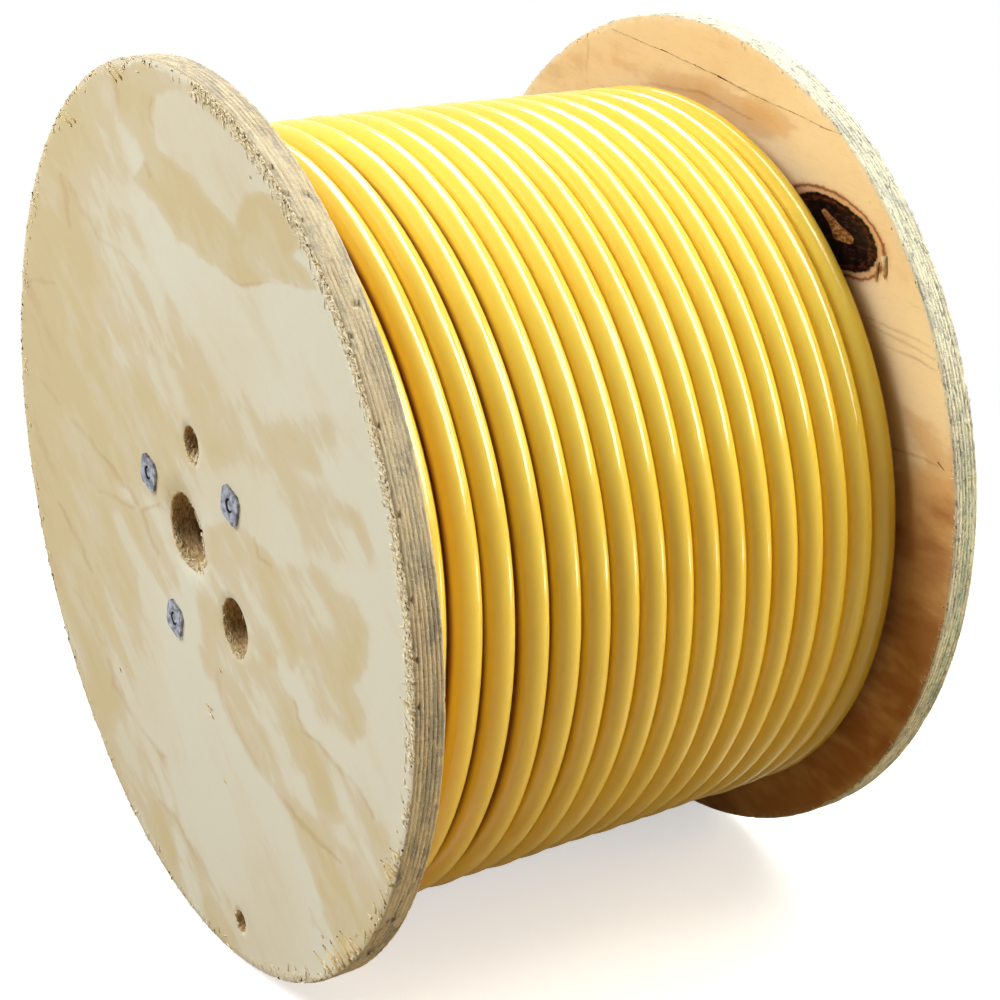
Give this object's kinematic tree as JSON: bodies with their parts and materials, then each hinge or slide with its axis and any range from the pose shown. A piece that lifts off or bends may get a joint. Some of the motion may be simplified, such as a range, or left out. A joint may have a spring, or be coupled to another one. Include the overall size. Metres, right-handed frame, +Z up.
{
  "type": "cable reel",
  "caption": "Plywood reel with two round flanges on a fibre drum, held by tie bolts and wound full with one thick cable.",
  "frame": {"origin": "on the floor under the middle of the reel, between the two flanges, where the rims touch down", "axes": "+Z up; +Y along the reel's axis, from the flange with the T-nuts to the flange with the bolt heads; +X to the side"},
  "size_m": [0.5079, 0.352, 0.508],
  "materials": {
    "near_plywood": "matt",
    "far_plywood": "matt",
    "fibre": "matt",
    "zinc_steel": "satin",
    "cable_jacket": "gloss"
  },
  "bodies": {
    "root": {"near_flange": "near_plywood", "far_flange": "far_plywood", "drum": "fibre", "tie_bolt_1": "zinc_steel", "tie_bolt_2": "zinc_steel", "tie_bolt_3": "zinc_steel", "t_nut_1": "zinc_steel", "t_nut_2": "zinc_steel", "t_nut_3": "zinc_steel", "cable_inner_layers": "cable_jacket", "cable_outer_layer": "cable_jacket", "end_staple": "zinc_steel"}
  },
  "joints": []
}
